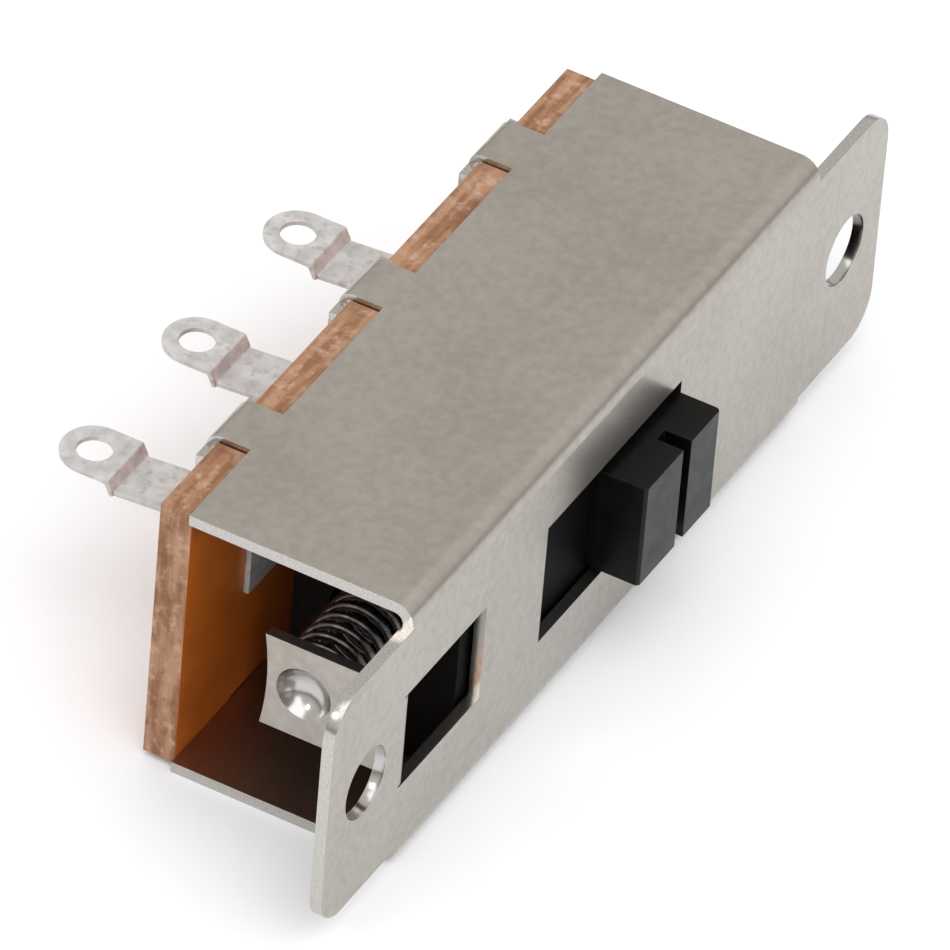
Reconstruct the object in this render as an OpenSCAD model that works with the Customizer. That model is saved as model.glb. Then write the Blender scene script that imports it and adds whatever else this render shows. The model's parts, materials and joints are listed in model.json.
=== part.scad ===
/* [Frame] */
// Thickness of the frame's sheet
sheet_t = 0.5; // [0.4:0.05:0.6]
// Length of the channel between the ears
channel_l = 32.2; // [31.8:0.1:34]
// Outer height of the channel
channel_h = 13; // [12.6:0.1:14]
// Depth of the channel walls behind the plate's front face
wall_d = 9.9; // [9.7:0.1:11]
// Outer radius of the channel's two bends
bend_r = 0.9; // [0.75:0.05:1.2]
// Length of the mounting plate over its ears
plate_l = 44; // [43.4:0.1:46]
// Corner radius of the ears
ear_corner_r = 1.7; // [0.8:0.1:2.5]
// Distance between the centres of the mounting holes
hole_pitch = 38.1; // [37.8:0.1:39]
// Diameter of the mounting holes
hole_d = 3.1; // [2.6:0.1:3.3]

/* [Spring seat] */
// Length of sheet lanced out of the plate for the spring seat
window_l = 6.3; // [6.1:0.1:6.8]
// Height of the window that the lancing leaves
window_h = 4.65; // [4.2:0.05:5]
// Distance of the seat's outer face inside the end of the channel
seat_inset = 0.1; // [0:0.05:0.4]
// Distance of the spring's axis behind the plate's front face
spring_y = 4.5; // [4.2:0.1:4.6]
// Diameter of the seat's drawn boss, which the spring slips over
boss_d = 2.4; // [2:0.05:2.45]
// Length of the boss inside the spring
boss_l = 0.7; // [0.4:0.1:1]
// Thickness of the sheet at the end of the boss
boss_end_t = 0.4; // [0.3:0.05:0.5]

/* [Terminal board] */
// Thickness of the board
board_t = 1.4; // [1.2:0.1:1.8]
// Distance between the crimp tabs that hold the board
crimp_pitch = 10.2; // [9.5:0.1:11]
// Width of a crimp tab's neck over the edge of the board
crimp_w = 2.5; // [2.2:0.1:3]
// Width of a crimp tab's head behind the board
crimp_head_w = 4.1; // [3.2:0.1:4.6]
// Length of a crimp tab folded down over the board's back
crimp_leg = 2.2; // [1.6:0.1:2.8]

/* [Terminals] */
// Distance between neighbouring terminals
lug_pitch = 7.9; // [7.4:0.1:8.2]
// Thickness of the terminal sheet
lug_t = 0.25; // [0.2:0.05:0.4]
// Distance of the solder hole's centre behind the board
lug_reach = 7.2; // [6.6:0.1:8]
// Width of the lug's head and diameter of its round end
lug_w = 2.8; // [2.4:0.1:3.2]
// Width of the terminal's blade through the board
blade_w = 2.6; // [2:0.1:2.8]
// Diameter of the solder hole
lug_hole_d = 1.46; // [1.2:0.02:1.6]
// Height of the lug's head above the bottom of its kink
lug_kink = 0.5; // [0.3:0.05:0.7]
// Height of the contact pad inside the board
pad_h = 2.6; // [2.4:0.1:3.2]
// Gap between neighbouring contact pads
pad_gap = 1.3; // [1:0.1:1.8]

/* [Slider] */
// Travel of the slider
travel = 4.4; // [4:0.1:4.6]
// Length of the slider's body in the channel
slider_l = 22; // [21:0.1:23]
// Length of the knob along the slot
knob_l = 5.9; // [5:0.1:6.2]
// Height of the knob
knob_h = 4.9; // [4.2:0.1:5.2]
// Distance that the knob stands out of the plate
knob_out = 1.85; // [1.5:0.05:2.6]
// Width of the knob's grip groove
groove_w = 0.65; // [0.5:0.05:1.2]
// Depth of the knob's grip groove
groove_d = 1.2; // [0.6:0.1:1.4]
// Wall in the slider between the return spring's pocket and the contact spring's pocket beside it
pocket_wall = 1.2; // [0.7:0.1:1.5]

/* [Springs and contact] */
// Outer diameter of the return spring
spring_d = 3.3; // [3.25:0.05:3.5]
// Wire diameter of the return spring
spring_wire = 0.38; // [0.3:0.02:0.38]
// Turns of the return spring
spring_turns = 17; // [14:1:17]
// Outer diameter of a contact spring
press_spring_d = 1.6; // [1.3:0.1:1.8]
// Wire diameter of a contact spring
press_spring_wire = 0.25; // [0.2:0.01:0.28]
// Turns of a contact spring
press_spring_turns = 7; // [5:1:9]
// Thickness of the bridge contact's strip
bridge_t = 0.35; // [0.25:0.05:0.45]
// Height of the bridge contact's strip
bridge_h = 2; // [1.8:0.1:2.3]
// Height of the bridge contact's bumps
bump_h = 0.55; // [0.4:0.05:0.6]

/* [Hidden] */
$fn = 64;
eps = 0.02;

// Channel and ears
half_h = channel_h / 2;
half_l = channel_l / 2;
ear_relief = 0.05;
ear_h = channel_h - 2 * (bend_r + ear_relief);

// Spring seat: a tab lanced out of the plate and bent back round its left edge
seat_bend_in = 0.3;
seat_bend_out = seat_bend_in + sheet_t;
seat_left = -half_l + seat_inset;
seat_right = seat_left + sheet_t;
lance_start = seat_left - seat_bend_in;
neutral_share = 0.4;
seat_bend_l = PI / 2 * (seat_bend_in + neutral_share * sheet_t);
seat_back = sheet_t + seat_bend_in + window_l - seat_bend_l;
lance_clear = 0.1;
seat_h = window_h - 2 * lance_clear;
seat_hollow = 0.2;
seat_hollow_r = (seat_h * seat_h / 4 + seat_hollow * seat_hollow) / (2 * seat_hollow);
dimple_depth = sheet_t + boss_l - boss_end_t;
dimple_r = (boss_d * boss_d / 4 + dimple_depth * dimple_depth) / (2 * dimple_depth);

// Terminal board against the walls' rear edges, notched for the crimp tabs' necks
board_back = wall_d + board_t;
board_clear = 0.05;
board_end_inset = 0.25;
board_l = channel_l - 2 * board_end_inset;
board_h = channel_h - sheet_t;
notch_w = crimp_w + 2 * board_clear;
notch_floor = half_h - sheet_t - board_clear;
crimp_bend_in = 0.1;
crimp_bend_out = crimp_bend_in + sheet_t;
crimp_back = board_back + eps + sheet_t;
blade_clear = 0.05;

// Terminals: pad inside the board, blade through it, kinked lug behind
lug_z = -0.17;
kink_z = lug_z - lug_kink;
lug_y = board_back + lug_reach;
kink_top = lug_y - lug_w / 2;
kink_run = 0.25;
kink_foot = kink_top - kink_run;
kink_angle = atan2(lug_kink, kink_run);
kink_shift = lug_t * tan(kink_angle / 2);
pad_face = wall_d - lug_t;
pad_l = lug_pitch - pad_gap;
pad_mid = 0.4;
pad_bottom = pad_mid - pad_h / 2;

// Slider in the channel, its knob in the slot
slide_clear = 0.15;
slot_side_clear = 0.45;
slot_end_clear = 0.15;
slot_l = knob_l + travel + 2 * slot_end_clear;
slot_h = knob_h + 2 * slot_side_clear;
knob_right = slot_l / 2 - slot_end_clear;
knob_left = knob_right - knob_l;
knob_bevel = 0.12;
groove_share = 0.55;
groove_x = knob_left + groove_share * knob_l - groove_w / 2;
stop_clear = 0.3;
slider_left = seat_right + travel + stop_clear;
slider_front = sheet_t + slide_clear;
slider_back_gap = 1.7;
slider_back = pad_face - slider_back_gap;
slider_h = channel_h - 2 * (sheet_t + slide_clear);
slider_edge_r = 0.4;

// Bridge contact in its tray on the slider's back, pressed by two small springs
contact_gap = 0.1;
bump_left = (travel - lug_pitch) / 2;
bump_r = 0.8;
bridge_back = pad_face - contact_gap - bump_h;
bridge_front = bridge_back - bridge_t;
bridge_end = 1.3;
bridge_l = lug_pitch + 2 * bridge_end;
bridge_mid = bump_left + lug_pitch / 2;
tray_clear = 0.15;
tray_wall = 0.8;
bridge_proud = 0.1;
tray_back = bridge_back - bridge_proud;
press_pocket_clear = 0.15;
press_pocket_r = press_spring_d / 2 + press_pocket_clear;
press_pocket_l = 3;
press_seat = slider_back - press_pocket_l;
seat_clear = 0.03;

// Return spring's pocket from the slider's left end to the wall beside the contact spring
pocket_clear = 0.2;
pocket_end = bump_left - press_pocket_r - pocket_wall;
pocket_l = pocket_end - slider_left;

// Point of a coil at a share u of its length: closed end turns and an open middle
function coil_x(u, turns, wire, length) =
    let (t = u * turns, run = length - wire, pitch = (run - 2 * wire) / (turns - 2))
    wire / 2 + (t < 1 ? t * wire : t > turns - 1 ? run - (turns - t) * wire : wire + (t - 1) * pitch);

// Ring of points round the wire at a turn angle a and a place x along the coil
function wire_ring(x, a, r, wire, sides) = [for (k = [0 : sides - 1])
    let (q = 360 * k / sides, out = r + wire / 2 * cos(q))
    [x + wire / 2 * sin(q), out * cos(a), out * sin(a)]];

// Coil spring along +X from x = 0
module coil(d, wire, turns, length, steps = 14, sides = 6) {
    n = turns * steps;
    points = [for (i = [0 : n]) each
        wire_ring(coil_x(i / n, turns, wire, length), 360 * i / steps, (d - wire) / 2, wire, sides)];
    walls = [for (i = [0 : n - 1], k = [0 : sides - 1])
        let (a = i * sides + k, b = i * sides + (k + 1) % sides) each
        [[a, b, b + sides], [a, b + sides, a + sides]]];
    start = [for (k = [sides - 1 : -1 : 0]) k];
    end = [for (k = [0 : sides - 1]) n * sides + k];
    polyhedron(points, concat([start], walls, [end]));
}

// Box from its low corner to its high corner
module block(low, high) {
    translate(low) cube(high - low);
}

// Rectangle with rounded corners, centred
module round_rect(size, r) {
    square([size.x - 2 * r, size.y], center = true);
    square([size.x, size.y - 2 * r], center = true);
    for (x = [-1, 1], y = [-1, 1])
        translate([x * (size.x / 2 - r), y * (size.y / 2 - r)]) circle(r);
}

// Turns a drawing in X and Z into a sheet from y to y + depth
module sheet_from(y, depth) {
    translate([0, y + depth, 0]) rotate([90, 0, 0]) linear_extrude(depth) children();
}

// Turns a drawing in Y and Z into a bar along X, centred on x
module bar_at(x, length) {
    translate([x - length / 2, 0, 0]) rotate([90, 0, 90]) linear_extrude(length) children();
}

// Cylinder along +Y from y
module rod_y(x, y, z, r, length) {
    translate([x, y, z]) rotate([-90, 0, 0]) cylinder(r = r, h = length);
}

// Section of the folded channel: plate in front, a wall above and below
module channel_section() {
    inner_r = bend_r - sheet_t;
    difference() {
        translate([wall_d, 0]) round_rect([2 * wall_d, channel_h], bend_r);
        translate([wall_d, 0])
            round_rect([2 * (wall_d - sheet_t), channel_h - 2 * sheet_t], inner_r);
        translate([wall_d, -channel_h]) square(2 * channel_h);
    }
}

// Section of a crimp tab's neck on the top wall, over the board's edge and round the fold
module crimp_neck_section() {
    fold_y = crimp_back - crimp_bend_out;
    translate([wall_d - sheet_t, half_h - sheet_t]) square([fold_y - wall_d + sheet_t, sheet_t]);
    translate([fold_y, half_h - crimp_bend_out]) intersection() {
        difference() {
            circle(crimp_bend_out);
            circle(crimp_bend_in);
        }
        square(crimp_bend_out);
    }
}

// Section of a crimp tab's head, flat against the board's back
module crimp_head_section() {
    translate([crimp_back - sheet_t, half_h - crimp_leg]) square([sheet_t, crimp_leg - crimp_bend_out]);
}

// Section of the lanced spring seat in X and Y, from the plate round its bend to its back end
module seat_section() {
    bend_x = lance_start;
    bend_y = seat_bend_out;
    translate([bend_x, bend_y]) intersection() {
        difference() {
            circle(seat_bend_out);
            circle(seat_bend_in);
        }
        translate([0, -seat_bend_out]) square(seat_bend_out);
    }
    translate([seat_left, bend_y]) square([sheet_t, seat_back - bend_y]);
}

// Spring seat with a hollow back edge, and the drawn boss that centres the return spring, dimpled outside
module spring_seat() {
    difference() {
        union() {
            translate([0, 0, -seat_h / 2]) linear_extrude(seat_h) seat_section();
            translate([seat_left, spring_y, 0]) rotate([0, 90, 0])
                cylinder(d = boss_d, h = sheet_t + boss_l);
        }
        translate([seat_left + dimple_depth - dimple_r, spring_y, 0]) sphere(dimple_r);
        translate([seat_left - eps, seat_back + seat_hollow_r - seat_hollow, 0]) rotate([0, 90, 0])
            cylinder(r = seat_hollow_r, h = sheet_t + 2 * eps);
    }
}

// Folded steel frame: plate with two ears, channel walls, crimp tabs and spring seat in one sheet
module frame() {
    color([0.72, 0.70, 0.67]) {
        difference() {
            union() {
                sheet_from(0, sheet_t) round_rect([plate_l, ear_h], ear_corner_r);
                bar_at(0, channel_l) channel_section();
                for (i = [-1 : 1], up = [0, 1])
                    mirror([0, 0, up]) {
                        bar_at(i * crimp_pitch, crimp_w) crimp_neck_section();
                        bar_at(i * crimp_pitch, crimp_head_w) crimp_head_section();
                    }
            }
            for (x = [-1, 1])
                rod_y(x * hole_pitch / 2, -eps, 0, hole_d / 2, sheet_t + 2 * eps);
            block([-slot_l / 2, -eps, -slot_h / 2], [slot_l / 2, sheet_t + eps, slot_h / 2]);
            block([lance_start, -eps, -window_h / 2],
                [lance_start + window_l, sheet_t + eps, window_h / 2]);
        }
        spring_seat();
    }
}

// Insulating board with a notch for each crimp tab and a slit for each terminal's blade
module terminal_board() {
    slit_w = blade_w + 2 * blade_clear;
    slit_h = lug_t + 2 * blade_clear;
    color([0.45, 0.24, 0.10]) difference() {
        block([-board_l / 2, wall_d, -board_h / 2], [board_l / 2, board_back, board_h / 2]);
        for (i = [-1 : 1], up = [0, 1])
            mirror([0, 0, up]) translate([i * crimp_pitch, 0, 0])
                block([-notch_w / 2, wall_d - eps, notch_floor], [notch_w / 2, board_back + eps, half_h]);
        for (i = [-1 : 1])
            translate([i * lug_pitch, wall_d + board_t / 2, lug_z])
                cube([slit_w, board_t + 2 * eps, slit_h], center = true);
    }
}

// Outline of a terminal's blade and lug seen from above
module lug_outline() {
    translate([0, lug_y]) circle(d = lug_w);
    translate([-lug_w / 2, kink_foot]) square([lug_w, lug_y - kink_foot]);
    translate([-blade_w / 2, pad_face]) square([blade_w, lug_y - pad_face]);
}

// Side view of a terminal: a blade that slopes down to the kink, then a short rise to the lug's head
module lug_profile() {
    h = lug_t / 2;
    end_y = lug_y + lug_w;
    polygon([[pad_face, lug_z + h], [board_back, lug_z + h], [kink_foot, kink_z + h],
        [kink_top, lug_z + h], [end_y, lug_z + h], [end_y, lug_z - h],
        [kink_top + kink_shift, lug_z - h], [kink_foot + kink_shift, kink_z - h],
        [board_back, lug_z - h], [pad_face, lug_z - h]]);
}

// Solder terminal stamped from one strip: contact pad, blade through the board, kinked lug
module terminal(x) {
    z_low = kink_z - lug_t;
    color([0.80, 0.79, 0.77]) translate([x, 0, 0]) difference() {
        union() {
            intersection() {
                translate([0, 0, z_low]) linear_extrude(lug_z - z_low + lug_t) lug_outline();
                bar_at(0, 2 * lug_w) lug_profile();
            }
            block([-pad_l / 2, pad_face, pad_bottom], [pad_l / 2, wall_d, pad_bottom + pad_h]);
        }
        translate([0, lug_y, lug_z - lug_t]) cylinder(d = lug_hole_d, h = 2 * lug_t);
    }
}

module terminal_left() {
    terminal(-lug_pitch);
}

module terminal_centre() {
    terminal(0);
}

module terminal_right() {
    terminal(lug_pitch);
}

// Outline of the knob seen from above, with bevelled corners and the grip groove
module knob_outline() {
    b = knob_bevel;
    difference() {
        polygon([[knob_left, slider_front + eps], [knob_left, b - knob_out], [knob_left + b, -knob_out],
            [knob_right - b, -knob_out], [knob_right, b - knob_out], [knob_right, slider_front + eps]]);
        translate([groove_x, -knob_out - eps]) square([groove_w, groove_d + eps]);
    }
}

// Section of the slider's body in the channel
module slider_section() {
    size = [slider_back - slider_front, slider_h];
    translate([slider_front + size.x / 2, 0]) round_rect(size, slider_edge_r);
}

// Tray on the slider's back that holds the bridge contact
module contact_tray() {
    inner = [bridge_l + 2 * tray_clear, bridge_h + 2 * tray_clear];
    outer = [inner.x + 2 * tray_wall, inner.y + 2 * tray_wall];
    depth = tray_back - slider_back;
    translate([bridge_mid, 0, pad_mid]) difference() {
        sheet_from(slider_back - eps, depth + eps) square(outer, center = true);
        sheet_from(slider_back, depth + eps) square(inner, center = true);
    }
}

// Black moulded slider with knob, spring pocket and contact tray
module slider() {
    color([0.09, 0.09, 0.09]) difference() {
        union() {
            bar_at(slider_left + slider_l / 2, slider_l) slider_section();
            translate([0, 0, -knob_h / 2]) linear_extrude(knob_h) knob_outline();
            contact_tray();
        }
        translate([slider_left - eps, spring_y, 0]) rotate([0, 90, 0])
            cylinder(r = spring_d / 2 + pocket_clear, h = pocket_l + eps);
        for (i = [0, 1])
            rod_y(bump_left + i * lug_pitch, press_seat, pad_mid, press_pocket_r, press_pocket_l + eps);
    }
}

// Bridge contact: a strip with two bumps that joins neighbouring pads
module bridge_contact() {
    color([0.78, 0.60, 0.32]) translate([bridge_mid, 0, pad_mid]) {
        sheet_from(bridge_front, bridge_t) round_rect([bridge_l, bridge_h], bridge_t);
        for (x = [-lug_pitch / 2, lug_pitch / 2])
            intersection() {
                translate([x, bridge_back + bump_h - bump_r, 0]) sphere(bump_r);
                rod_y(x, bridge_front + bridge_t / 2, 0, bump_r, bridge_t + bump_h);
            }
    }
}

// Small spring that presses one end of the bridge contact towards the pads
module contact_spring(i) {
    length = bridge_front - press_seat - 2 * seat_clear;
    color([0.62, 0.62, 0.60]) translate([bump_left + i * lug_pitch, press_seat + seat_clear, pad_mid])
        rotate([0, 0, 90]) coil(press_spring_d, press_spring_wire, press_spring_turns, length, steps = 12);
}

module contact_spring_left() {
    contact_spring(0);
}

module contact_spring_right() {
    contact_spring(1);
}

// Return spring between the frame's spring seat and the bottom of the slider's pocket
module return_spring() {
    length = pocket_end - seat_right - 2 * seat_clear;
    color([0.50, 0.50, 0.49]) translate([seat_right + seat_clear, spring_y, 0])
        coil(spring_d, spring_wire, spring_turns, length);
}

frame();
terminal_board();
terminal_left();
terminal_centre();
terminal_right();
slider();
bridge_contact();
contact_spring_left();
contact_spring_right();
return_spring();
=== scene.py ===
import json
import math

import bmesh
import bpy
from mathutils import Matrix, Vector
from mathutils.bvhtree import BVHTree


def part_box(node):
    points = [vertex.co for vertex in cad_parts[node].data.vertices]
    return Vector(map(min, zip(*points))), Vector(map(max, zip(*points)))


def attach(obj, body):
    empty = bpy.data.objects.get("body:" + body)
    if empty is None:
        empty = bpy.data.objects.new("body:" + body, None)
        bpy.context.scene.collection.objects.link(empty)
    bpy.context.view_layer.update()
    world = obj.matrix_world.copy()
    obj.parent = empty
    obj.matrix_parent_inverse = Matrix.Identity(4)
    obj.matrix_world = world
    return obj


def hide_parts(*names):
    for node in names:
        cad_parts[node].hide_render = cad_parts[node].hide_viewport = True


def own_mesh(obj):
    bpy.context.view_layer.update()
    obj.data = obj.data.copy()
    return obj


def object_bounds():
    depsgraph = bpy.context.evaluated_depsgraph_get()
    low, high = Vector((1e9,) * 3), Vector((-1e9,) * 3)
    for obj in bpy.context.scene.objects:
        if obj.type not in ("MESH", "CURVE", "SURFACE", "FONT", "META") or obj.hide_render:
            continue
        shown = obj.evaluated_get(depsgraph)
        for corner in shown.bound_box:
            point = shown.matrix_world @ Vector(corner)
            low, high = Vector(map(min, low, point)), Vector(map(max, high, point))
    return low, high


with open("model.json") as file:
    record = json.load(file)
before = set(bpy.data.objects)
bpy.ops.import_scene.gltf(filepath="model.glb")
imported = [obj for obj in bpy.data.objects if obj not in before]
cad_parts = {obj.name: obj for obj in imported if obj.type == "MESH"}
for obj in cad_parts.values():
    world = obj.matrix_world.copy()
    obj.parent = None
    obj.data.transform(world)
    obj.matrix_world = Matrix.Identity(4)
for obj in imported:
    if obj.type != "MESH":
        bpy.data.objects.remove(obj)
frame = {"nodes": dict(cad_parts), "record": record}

CAD_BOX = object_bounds()
MM = 0.001
NODES = frame["nodes"]

# Camera, as the photograph was taken: a long lens from the upper left, slightly rolled
CAMERA_TARGET = Vector((-2.10, 4.91, 0.98)) * MM
CAMERA_AZIMUTH = -63.77
CAMERA_ELEVATION = 40.27
CAMERA_ROLL = 5.05
CAMERA_DISTANCE = 0.64
CAMERA_REACH = 10.0
CAMERA_LENS = 627.6
SENSOR = 36.0

# Floor and sky
FLOOR_SIZE = 4.0
FLOOR_COLOUR = (0.955, 0.968, 0.98)
FLOOR_ROUGHNESS = 0.9
SKY_COLOUR = (1.0, 0.98, 0.95)
SKY_LEVEL = 0.76
HORIZON_LEVEL = 0.12
SKY_HEIGHT = 0.3

# Lights: place as seen from the part, size, power and colour
LIGHTS = {
    "key": dict(azimuth=-40, elevation=60, distance=0.6, size=0.9, power=3.2, colour=(0.96, 0.99, 1.05)),
    "fill": dict(azimuth=60, elevation=40, distance=0.7, size=0.6, power=0.12, colour=(1, 1, 1)),
    "rim": dict(azimuth=-118, elevation=41, distance=0.6, size=0.12, power=0.3, colour=(1, 1, 1)),
}

# Frame's sheet: its thickness, screw holes and the dimple in its spring seat, each with some room
SHEET_LIMIT = 0.6 * MM
HOLES = frame["record"]["mounts"][0]["dims"]
HOLE_X = HOLES["spacing_x_mm"] / 2 * MM
HOLE_ROOM = 0.05 * MM
HOLE_LIMIT = HOLES["hole_r_mm"] * MM + HOLE_ROOM
DIMPLE_LIMIT = 1.19 * MM

# Most that a hole's wall leans along its axis, and least that the dimple's wall leans towards its mouth
HOLE_LEAN = 0.5
DIMPLE_LEAN = 0.1

# Start of a ray off the face that sends it, and distance up to which two points of a mesh are one
RAY_START = 0.001 * MM
WELD = 0.0001 * MM

# Widths of rounded edges: sharp edges of each material, and blunt ones where a sheet folds
SHEET_EDGE = 0.05 * MM
BOARD_EDGE = 0.04 * MM
SLIDER_EDGE = 0.12 * MM
LUG_EDGE = 0.06 * MM
CONTACT_EDGE = 0.05 * MM
FOLD_EDGE = 0.22 * MM
EDGE_STEPS = 3
FOLD_ANGLE = math.radians(20)
SHARP_ANGLE = math.radians(60)
FLAT_ANGLE = math.radians(0.5)

# Weight of large faces in a piece's shading
FLAT_WEIGHT = 100

# Depth behind the plate's front over which the satin knob turns into the slider's dull body
KNOB_ROOT = 0.3 * MM

# Springs: wire diameter and turns
RETURN_WIRE = 0.38 * MM
RETURN_TURNS = 17
CONTACT_WIRE = 0.25 * MM
CONTACT_TURNS = 7
WIRE_SIDES = 14
STEPS_PER_TURN = 36

# Strength of the finer parts of a noise, and a Mix node's sockets for colours: factor, both colours, result
NOISE_ROUGHNESS = 0.55
MIX_INPUTS = (0, 6, 7)
MIX_OUTPUT = 2


class Graph:
    """Nodes of a material or world, with short calls for those used here."""

    def __init__(self, owner, shader="Principled BSDF"):
        owner.use_nodes = True
        self.owner = owner
        self.tree = owner.node_tree
        self.shader = self.tree.nodes[shader]

    def set(self, socket, value):
        """Gives the shader's own socket a value."""
        self.join(value, self.shader.inputs[socket])

    def join(self, value, socket):
        """Links another node's socket, or sets a constant."""
        if isinstance(value, bpy.types.NodeSocket):
            self.tree.links.new(value, socket)
        elif socket.type == "RGBA":
            socket.default_value = (*value, 1.0)
        else:
            socket.default_value = value

    def add(self, kind, inputs=(), **settings):
        node = self.tree.nodes.new(kind)
        for name, value in settings.items():
            setattr(node, name, value)
        for name, value in dict(inputs).items():
            self.join(value, node.inputs[name])
        return node

    def noise(self, scale, detail, stretch=(1, 1, 1)):
        """Noise with so many features a millimetre, stretched along the piece's axes."""
        source = self.add("ShaderNodeTexCoord").outputs["Object"]
        scales = [s / MM for s in stretch]
        place = self.add("ShaderNodeMapping", {"Vector": source, "Scale": scales}).outputs["Vector"]
        inputs = {"Vector": place, "Scale": scale, "Detail": detail, "Roughness": NOISE_ROUGHNESS}
        return self.add("ShaderNodeTexNoise", inputs).outputs["Fac"]

    def ramp(self, factor, low, high, out_low=0.0, out_high=1.0):
        """Runs from one number to the other while the factor runs from low to high."""
        inputs = {"Value": factor, "From Min": low, "From Max": high, "To Min": out_low, "To Max": out_high}
        return self.add("ShaderNodeMapRange", inputs).outputs["Result"]

    def blend(self, mark, without, with_mark):
        """One number where a mark is 0, and the other where it is 1."""
        return self.ramp(mark, 0.0, 1.0, without, with_mark)

    def mix(self, factor, a, b):
        """One colour where the factor is 0, and the other where it is 1."""
        node = self.add("ShaderNodeMix", data_type="RGBA")
        for index, value in zip(MIX_INPUTS, (factor, a, b)):
            self.join(value, node.inputs[index])
        return node.outputs[MIX_OUTPUT]

    def bump(self, pattern, height, strength=1.0):
        inputs = {"Height": pattern, "Distance": height, "Strength": strength}
        return self.add("ShaderNodeBump", inputs).outputs["Normal"]

    def facing(self, axis):
        """Size of the surface normal along one axis of the piece."""
        normal = self.add("ShaderNodeTexCoord").outputs["Normal"]
        split = self.add("ShaderNodeSeparateXYZ", {"Vector": normal})
        node = self.add("ShaderNodeMath", {0: split.outputs[axis]}, operation="ABSOLUTE")
        return node.outputs[0]

    def place(self, axis):
        """Place along one axis of the piece."""
        source = self.add("ShaderNodeTexCoord").outputs["Object"]
        return self.add("ShaderNodeSeparateXYZ", {"Vector": source}).outputs[axis]

    def mark(self, name):
        """Value that a mark on the faces of the piece has."""
        return self.add("ShaderNodeAttribute", attribute_name=name).outputs["Fac"]


def surface(name):
    return Graph(bpy.data.materials.new(name))


def plated_steel():
    """Dull plate: even faces with a fine grain, shiny sheared edges, faces that a tool rubbed bright, and a
    painted brown reflection of the amber board on the faces inside the channel.
    """
    dull, pale = (0.40, 0.362, 0.315), (0.435, 0.405, 0.365)
    dark_grain, light_grain = (0.33, 0.30, 0.262), (0.49, 0.46, 0.42)
    # Painted reflection: the warm brown that the amber board casts on the faces inside the channel
    painted_board_reflection = (0.40, 0.20, 0.11)
    dull_edge, pale_edge = (0.46, 0.435, 0.405), (0.58, 0.555, 0.525)
    rubbed = (0.52, 0.505, 0.48)
    graph = surface("plated_steel")
    cloud = graph.noise(0.16, 3.0)
    grain = graph.noise(2.2, 4.0)
    shear = graph.noise(9.0, 3.0)
    cut = graph.mark("cut")
    bright = graph.mark("bright")
    inner = graph.mark("inner")
    face = graph.mix(graph.ramp(cloud, 0.35, 0.65), dull, pale)
    face = graph.mix(graph.ramp(grain, 0.50, 0.66, 0.0, 0.35), face, dark_grain)
    face = graph.mix(graph.ramp(grain, 0.50, 0.34, 0.0, 0.35), face, light_grain)
    # Painted reflection of the amber board, laid over the faces marked inner
    face = graph.mix(graph.blend(inner, 0.0, 0.7), face, painted_board_reflection)
    edge = graph.mix(graph.ramp(shear, 0.3, 0.7), dull_edge, pale_edge)
    graph.set("Base Color", graph.mix(bright, graph.mix(cut, face, edge), rubbed))
    rough = graph.blend(cut, graph.ramp(grain, 0.3, 0.7, 0.27, 0.34), 0.22)
    graph.set("Roughness", graph.blend(bright, rough, 0.2))
    metal = graph.blend(inner, graph.blend(cut, 0.85, 0.97), 0.95)
    graph.set("Metallic", graph.blend(bright, metal, 1.0))
    graph.set("Normal", graph.bump(grain, 0.004 * MM))
    return graph.owner


def laminate():
    """Resin board: amber faces, and tan sawn edges that show the layers."""
    deep_amber, clear_amber = (0.46, 0.105, 0.010), (0.62, 0.163, 0.020)
    dark_layer, light_layer = (0.25, 0.108, 0.048), (0.405, 0.224, 0.13)
    light_fray, dark_fray = (0.52, 0.34, 0.235), (0.175, 0.072, 0.029)
    graph = surface("laminate")
    face = graph.ramp(graph.facing("Y"), 0.6, 0.8)
    cloud = graph.noise(0.4, 4.0)
    layers = graph.noise(1.0, 4.0, stretch=(0.3, 2.4, 0.3))
    fray = graph.noise(2.0, 4.0)
    amber = graph.mix(graph.ramp(cloud, 0.3, 0.7), deep_amber, clear_amber)
    tan = graph.mix(graph.ramp(layers, 0.40, 0.60), dark_layer, light_layer)
    tan = graph.mix(graph.ramp(fray, 0.54, 0.68, 0.0, 0.7), tan, light_fray)
    tan = graph.mix(graph.ramp(fray, 0.44, 0.32, 0.0, 0.6), tan, dark_fray)
    graph.set("Base Color", graph.mix(face, tan, amber))
    graph.set("Roughness", graph.blend(face, 0.75, 0.4))
    graph.set("Normal", graph.bump(fray, 0.03 * MM, 0.5))
    return graph.owner


def tin_plate():
    """Dull tin, mottled where it was dipped, with a few dark spots."""
    dull, pale = (0.49, 0.482, 0.468), (0.65, 0.64, 0.625)
    spot = (0.30, 0.29, 0.275)
    graph = surface("tin_plate")
    cloud = graph.noise(1.4, 4.0)
    spots = graph.noise(2.6, 2.0)
    tone = graph.mix(graph.ramp(cloud, 0.35, 0.65), dull, pale)
    graph.set("Base Color", graph.mix(graph.ramp(spots, 0.56, 0.70, 0.0, 0.45), tone, spot))
    graph.set("Roughness", graph.ramp(cloud, 0.3, 0.7, 0.45, 0.6))
    graph.set("Normal", graph.bump(cloud, 0.06 * MM))
    graph.set("Metallic", 0.25)
    return graph.owner


def black_moulding():
    """Black plastic: a satin knob on a dull body."""
    deep, worn = (0.0010, 0.0010, 0.0009), (0.003, 0.0028, 0.0026)
    graph = surface("black_moulding")
    cloud = graph.noise(1.2, 4.0)
    body = graph.ramp(graph.place("Y"), 0.0, KNOB_ROOT)
    graph.set("Base Color", graph.mix(graph.ramp(cloud, 0.3, 0.7), deep, worn))
    graph.set("Roughness", graph.blend(body, graph.ramp(cloud, 0.3, 0.7, 0.30, 0.42), 0.6))
    graph.set("Specular IOR Level", graph.blend(body, 0.22, 0.08))
    graph.set("Normal", graph.bump(graph.noise(9.0, 2.0), 0.006 * MM))
    return graph.owner


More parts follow.
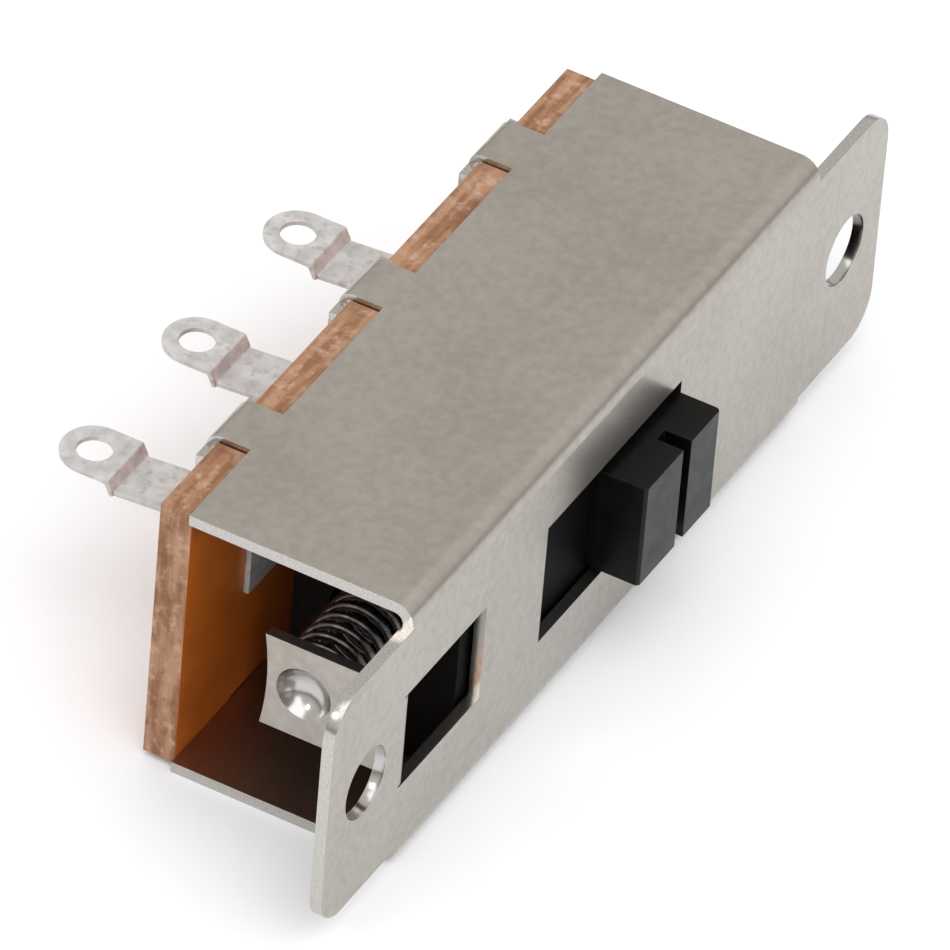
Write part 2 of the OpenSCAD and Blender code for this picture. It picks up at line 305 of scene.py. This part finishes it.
def bare_metal(name, pattern, dark, light):
    """Bare metal with two tones, rougher where it is light. The pattern is a noise's scale and detail."""
    graph = surface(name)
    tone = graph.noise(*pattern)
    graph.set("Base Color", graph.mix(graph.ramp(tone, 0.3, 0.7), dark, light))
    graph.set("Roughness", graph.ramp(tone, 0.3, 0.7, 0.25, 0.4))
    graph.set("Metallic", 1.0)
    return graph.owner


def spring_wire():
    """Drawn wire, dark with brighter streaks."""
    return bare_metal("spring_wire", (4.0, 3.0), (0.08, 0.078, 0.075), (0.18, 0.175, 0.17))


def contact_brass():
    """Bright brass strip, slightly tarnished."""
    return bare_metal("contact_brass", (1.2, 4.0), (0.60, 0.40, 0.16), (0.80, 0.60, 0.30))


def floor_paper():
    graph = surface("floor_paper")
    graph.set("Base Color", FLOOR_COLOUR)
    graph.set("Roughness", FLOOR_ROUGHNESS)
    return graph.owner


def studio_sky():
    """Warm white all round, darker towards the horizon."""
    graph = Graph(bpy.data.worlds.new("studio_sky"), "Background")
    source = graph.add("ShaderNodeTexCoord").outputs["Generated"]
    height = graph.add("ShaderNodeSeparateXYZ", {"Vector": source}).outputs["Z"]
    graph.set("Color", SKY_COLOUR)
    graph.set("Strength", graph.ramp(height, 0.0, SKY_HEIGHT, HORIZON_LEVEL, SKY_LEVEL))
    return graph.owner


def add_object(name, data):
    obj = bpy.data.objects.new(name, data)
    bpy.context.scene.collection.objects.link(obj)
    return obj


def polished(face, middle, spring_axis):
    """Whether a face was rubbed bright by a tool: in a screw hole or in the spring seat's dimple."""
    off_axis = middle - spring_axis
    near_hole = math.hypot(abs(middle.x) - HOLE_X, middle.z) < HOLE_LIMIT
    near_dimple = math.hypot(off_axis.y, off_axis.z) < DIMPLE_LIMIT
    in_hole = near_hole and abs(face.normal.y) < HOLE_LEAN
    in_dimple = near_dimple and face.normal.x < -DIMPLE_LEAN
    return in_hole or in_dimple


def mark_sheet(work):
    """Marks a sheet's sheared edges, which have no face close behind, and its bright and inner faces."""
    cut = work.faces.layers.float.new("cut")
    bright = work.faces.layers.float.new("bright")
    inner = work.faces.layers.float.new("inner")
    low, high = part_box("return_spring")
    spring_axis = (low + high) / 2
    tree = BVHTree.FromBMesh(work)
    for face in work.faces:
        middle = face.calc_center_median()
        step = face.normal * RAY_START
        _, _, _, behind = tree.ray_cast(middle - step, -face.normal)
        _, _, _, ahead = tree.ray_cast(middle + step, face.normal)
        face[cut] = float(behind is None or behind > SHEET_LIMIT)
        face[bright] = float(polished(face, middle, spring_axis))
        # Inner faces later take the painted reflection of the board in their colour
        face[inner] = (1.0 - face[cut]) * float(ahead is not None)


def mark_edges(work, sharp, fold):
    """Gives each sharp edge and each blunt fold its share of the wider rounding, and returns that width."""
    weight = work.edges.layers.float.new("bevel_weight_edge")
    widest = max(sharp, fold)
    for edge in work.edges:
        angle = edge.calc_face_angle(0.0)
        if angle > SHARP_ANGLE:
            edge[weight] = sharp / widest
        elif angle > FOLD_ANGLE:
            edge[weight] = fold / widest
    return widest


def settle(piece, material, node, body):
    """Gives a piece its material and the body it rides on, and hides the node it stands for."""
    piece.data.materials.clear()
    piece.data.materials.append(material)
    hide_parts(node)
    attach(piece, body)


def add_skin(node, material, body, sharp, fold=0.0, sheet=False):
    """Adds a piece that stands for a node: the node's own form with its edges rounded."""
    name = node + "_skin"
    work = bmesh.new()
    work.from_mesh(NODES[node].data)
    bmesh.ops.remove_doubles(work, verts=work.verts, dist=WELD)
    if sheet:
        mark_sheet(work)
    bmesh.ops.dissolve_limit(work, angle_limit=FLAT_ANGLE, verts=work.verts, edges=work.edges)
    width = mark_edges(work, sharp, fold)
    for face in work.faces:
        face.smooth = True
    mesh = bpy.data.meshes.new(name)
    work.to_mesh(mesh)
    work.free()
    piece = add_object(name, mesh)
    bevel = piece.modifiers.new("edges", "BEVEL")
    bevel.width = width
    bevel.segments = EDGE_STEPS
    bevel.limit_method = "WEIGHT"
    bevel.loop_slide = False
    shade = piece.modifiers.new("shade", "WEIGHTED_NORMAL")
    shade.weight = FLAT_WEIGHT
    baked = bpy.data.meshes.new_from_object(piece.evaluated_get(bpy.context.evaluated_depsgraph_get()))
    piece.modifiers.clear()
    piece.data = baked
    settle(piece, material, node, body)


def along_coil(turn, turns, wire, length):
    """Place of the wire's middle along a coil with a closed turn at each end."""
    run = length - wire
    pitch = (run - 2 * wire) / (turns - 2)
    if turn < 1:
        return wire / 2 + turn * wire
    if turn > turns - 1:
        return wire / 2 + run - (turns - turn) * wire
    return wire / 2 + wire + (turn - 1) * pitch


def coil_mesh(name, start, axis, radius, wire, turns, length):
    """A round wire wound along axis, which lies in the level plane."""
    side = Vector((-axis.y, axis.x, 0))
    third = axis.cross(side)
    work = bmesh.new()
    rings = []
    for i in range(turns * STEPS_PER_TURN + 1):
        turn = i / STEPS_PER_TURN
        wound = 2 * math.pi * turn
        out = math.cos(wound) * side + math.sin(wound) * third
        middle = start + axis * along_coil(turn, turns, wire, length) + out * radius
        ring = []
        for k in range(WIRE_SIDES):
            around = 2 * math.pi * k / WIRE_SIDES
            spoke = axis * math.sin(around) + out * math.cos(around)
            ring.append(work.verts.new(middle + wire / 2 * spoke))
        rings.append(ring)
    for here, ahead in zip(rings, rings[1:]):
        for k in range(WIRE_SIDES):
            n = (k + 1) % WIRE_SIDES
            work.faces.new((here[k], here[n], ahead[n], ahead[k])).smooth = True
    work.faces.new(rings[0][::-1])
    work.faces.new(rings[-1])
    bmesh.ops.recalc_face_normals(work, faces=work.faces)
    mesh = bpy.data.meshes.new(name)
    work.to_mesh(mesh)
    work.free()
    return mesh


def add_coil(node, material, body, axis, wire, turns):
    """Adds a finely wound spring that stands for a node and fills the node's box."""
    name = node + "_coil"
    low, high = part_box(node)
    size = high - low
    length = size.dot(axis)
    radius = (max(size - length * axis) - wire) / 2
    start = (low + high) / 2 - axis * length / 2
    piece = add_object(name, coil_mesh(name, start, axis, radius, wire, turns, length))
    settle(piece, material, node, body)
    return piece


def build_part():
    tin = tin_plate()
    wire = spring_wire()
    add_skin("frame", plated_steel(), "frame_body", SHEET_EDGE, SHEET_EDGE, sheet=True)
    add_skin("terminal_board", laminate(), "frame_body", BOARD_EDGE)
    for node in ("terminal_left", "terminal_centre", "terminal_right"):
        add_skin(node, tin, "frame_body", LUG_EDGE, FOLD_EDGE)
    add_skin("slider", black_moulding(), "slider_body", SLIDER_EDGE, SLIDER_EDGE / 2)
    add_skin("bridge_contact", contact_brass(), "slider_body", CONTACT_EDGE)
    for node in ("contact_spring_left", "contact_spring_right"):
        add_coil(node, wire, "slider_body", Vector((0, 1, 0)), CONTACT_WIRE, CONTACT_TURNS)
    spring = add_coil("return_spring", wire, "frame_body", Vector((1, 0, 0)), RETURN_WIRE, RETURN_TURNS)
    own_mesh(spring)


def toward(azimuth, elevation):
    """Direction from the part to a point seen at that azimuth and elevation."""
    a = math.radians(azimuth)
    e = math.radians(elevation)
    return Vector((math.sin(a) * math.cos(e), -math.cos(a) * math.cos(e), math.sin(e)))


def add_camera():
    back = toward(CAMERA_AZIMUTH, CAMERA_ELEVATION)
    level = Vector((0, 0, 1)).cross(back).normalized()
    right = Matrix.Rotation(math.radians(CAMERA_ROLL), 3, back) @ level
    turn = Matrix((right, back.cross(right), back)).transposed().to_4x4()
    data = bpy.data.cameras.new("camera")
    data.lens = CAMERA_LENS
    data.sensor_width = SENSOR
    data.clip_end = CAMERA_REACH
    camera = add_object("camera", data)
    camera.matrix_world = Matrix.Translation(CAMERA_TARGET + back * CAMERA_DISTANCE) @ turn
    bpy.context.scene.camera = camera


def add_area(name, azimuth, elevation, distance, size, power, colour):
    data = bpy.data.lights.new(name, "AREA")
    data.size = size
    data.energy = power
    data.color = colour
    light = add_object(name, data)
    back = toward(azimuth, elevation)
    light.location = back * distance
    light.rotation_euler = (-back).to_track_quat("-Z", "Y").to_euler()


def add_stage():
    scene = bpy.context.scene
    scene.view_settings.view_transform = "Standard"
    bpy.ops.mesh.primitive_plane_add(size=FLOOR_SIZE, location=(0, 0, CAD_BOX[0].z))
    floor = bpy.context.object
    floor.name = "floor"
    floor.data.materials.append(floor_paper())
    scene.world = studio_sky()
    for name, light in LIGHTS.items():
        add_area(name, **light)


build_part()
add_camera()
add_stage()
